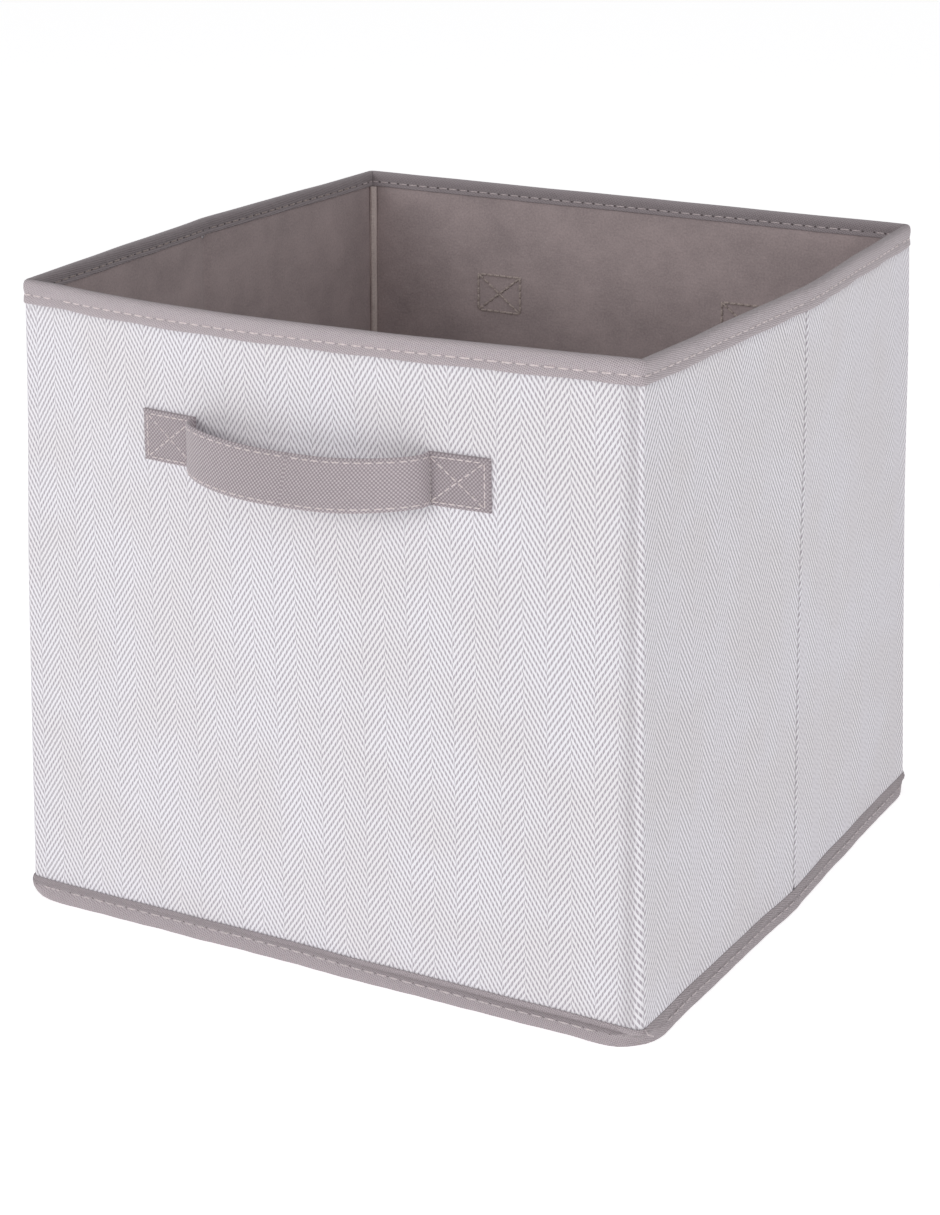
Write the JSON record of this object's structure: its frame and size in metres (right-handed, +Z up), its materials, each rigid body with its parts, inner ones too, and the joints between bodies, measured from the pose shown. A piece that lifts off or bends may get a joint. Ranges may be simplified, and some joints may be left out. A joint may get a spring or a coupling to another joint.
{
  "type": "fabric storage bin",
  "caption": "Open square fabric storage bin with card-stiffened walls that fold flat at side creases, a loose base board and two swinging strap handles.",
  "frame": {"origin": "on the floor under the middle of the bin", "axes": "+X to the right along the front wall, +Y from the front wall to the back wall, +Z up"},
  "size_m": [0.3464, 0.38, 0.315],
  "materials": {
    "printed_cloth": "non-woven cloth printed with a grey herringbone",
    "binding_tape": "matt mauve-grey folded tape",
    "strap_webbing": "matt mauve-grey embossed strap",
    "lining_cloth": "mottled taupe non-woven lining",
    "bottom_cloth": "mottled taupe non-woven cloth",
    "stiffener_card": "grey-brown board",
    "sewing_thread": "cream polyester thread"
  },
  "bodies": {
    "back_wall": {"back_outer_fabric": "printed_cloth", "back_card": "stiffener_card", "back_lining": "lining_cloth", "back_top_binding": "binding_tape", "back_bottom_binding": "binding_tape", "back_top_stitching": "sewing_thread", "back_bottom_stitching": "sewing_thread", "bottom_fabric": "bottom_cloth", "base_card": "stiffener_card", "base_cover": "lining_cloth", "back_handle_sewn_ends": "strap_webbing", "back_handle_box_stitching": "sewing_thread"},
    "right_rear_half": {"right_rear_outer_fabric": "printed_cloth", "right_rear_card": "stiffener_card", "right_rear_lining": "lining_cloth", "right_rear_top_binding": "binding_tape", "right_rear_bottom_binding": "binding_tape", "right_rear_top_stitching": "sewing_thread", "right_rear_bottom_stitching": "sewing_thread"},
    "right_front_half": {"right_front_outer_fabric": "printed_cloth", "right_front_card": "stiffener_card", "right_front_lining": "lining_cloth", "right_front_top_binding": "binding_tape", "right_front_bottom_binding": "binding_tape", "right_front_top_stitching": "sewing_thread", "right_front_bottom_stitching": "sewing_thread"},
    "front_wall": {"front_outer_fabric": "printed_cloth", "front_card": "stiffener_card", "front_lining": "lining_cloth", "front_top_binding": "binding_tape", "front_bottom_binding": "binding_tape", "front_top_stitching": "sewing_thread", "front_bottom_stitching": "sewing_thread", "front_handle_sewn_ends": "strap_webbing", "front_handle_box_stitching": "sewing_thread"},
    "left_rear_half": {"left_rear_outer_fabric": "printed_cloth", "left_rear_card": "stiffener_card", "left_rear_lining": "lining_cloth", "left_rear_top_binding": "binding_tape", "left_rear_bottom_binding": "binding_tape", "left_rear_top_stitching": "sewing_thread", "left_rear_bottom_stitching": "sewing_thread"},
    "left_front_half": {"left_front_outer_fabric": "printed_cloth", "left_front_card": "stiffener_card", "left_front_lining": "lining_cloth", "left_front_top_binding": "binding_tape", "left_front_bottom_binding": "binding_tape", "left_front_top_stitching": "sewing_thread", "left_front_bottom_stitching": "sewing_thread"},
    "front_handle": {"front_handle_strap": "strap_webbing", "front_handle_strap_stitching": "sewing_thread"},
    "back_handle": {"back_handle_strap": "strap_webbing", "back_handle_strap_stitching": "sewing_thread"}
  },
  "joints": [
    {"name": "side_fold", "type": "hinge", "parent": "back_wall", "child": "right_rear_half", "pos_m": [0.1598, 0.1578, 0], "axis": [0, 0, -1], "range_deg": [0, 88], "deforming": ["bottom_fabric", "base_card", "base_cover"]},
    {"name": "right_crease", "type": "hinge", "parent": "right_rear_half", "child": "right_front_half", "pos_m": [0.17341, 0, 0], "axis": [0, 0, 1], "range_deg": [0, 176]},
    {"name": "front_right_corner", "type": "hinge", "parent": "right_front_half", "child": "front_wall", "pos_m": [0.1598, -0.1578, 0], "axis": [0, 0, -1], "range_deg": [0, 88]},
    {"name": "back_left_corner", "type": "hinge", "parent": "back_wall", "child": "left_rear_half", "pos_m": [-0.1598, 0.1578, 0], "axis": [0, 0, 1], "range_deg": [0, 88]},
    {"name": "left_crease", "type": "hinge", "parent": "left_rear_half", "child": "left_front_half", "pos_m": [-0.17341, 0, 0], "axis": [0, 0, -1], "range_deg": [0, 176]},
    {"name": "front_handle_swing", "type": "hinge", "parent": "front_wall", "child": "front_handle", "pos_m": [0, -0.164, 0.249], "axis": [-1, 0, 0], "range_deg": [-30, 54]},
    {"name": "back_handle_swing", "type": "hinge", "parent": "back_wall", "child": "back_handle", "pos_m": [0, 0.164, 0.249], "axis": [1, 0, 0], "range_deg": [-30, 54]}
  ],
  "couplings": [
    {"joint": "right_crease", "follows": "side_fold", "ratio": 2},
    {"joint": "front_right_corner", "follows": "side_fold", "ratio": 1},
    {"joint": "back_left_corner", "follows": "side_fold", "ratio": 1},
    {"joint": "left_crease", "follows": "side_fold", "ratio": 2}
  ]
}
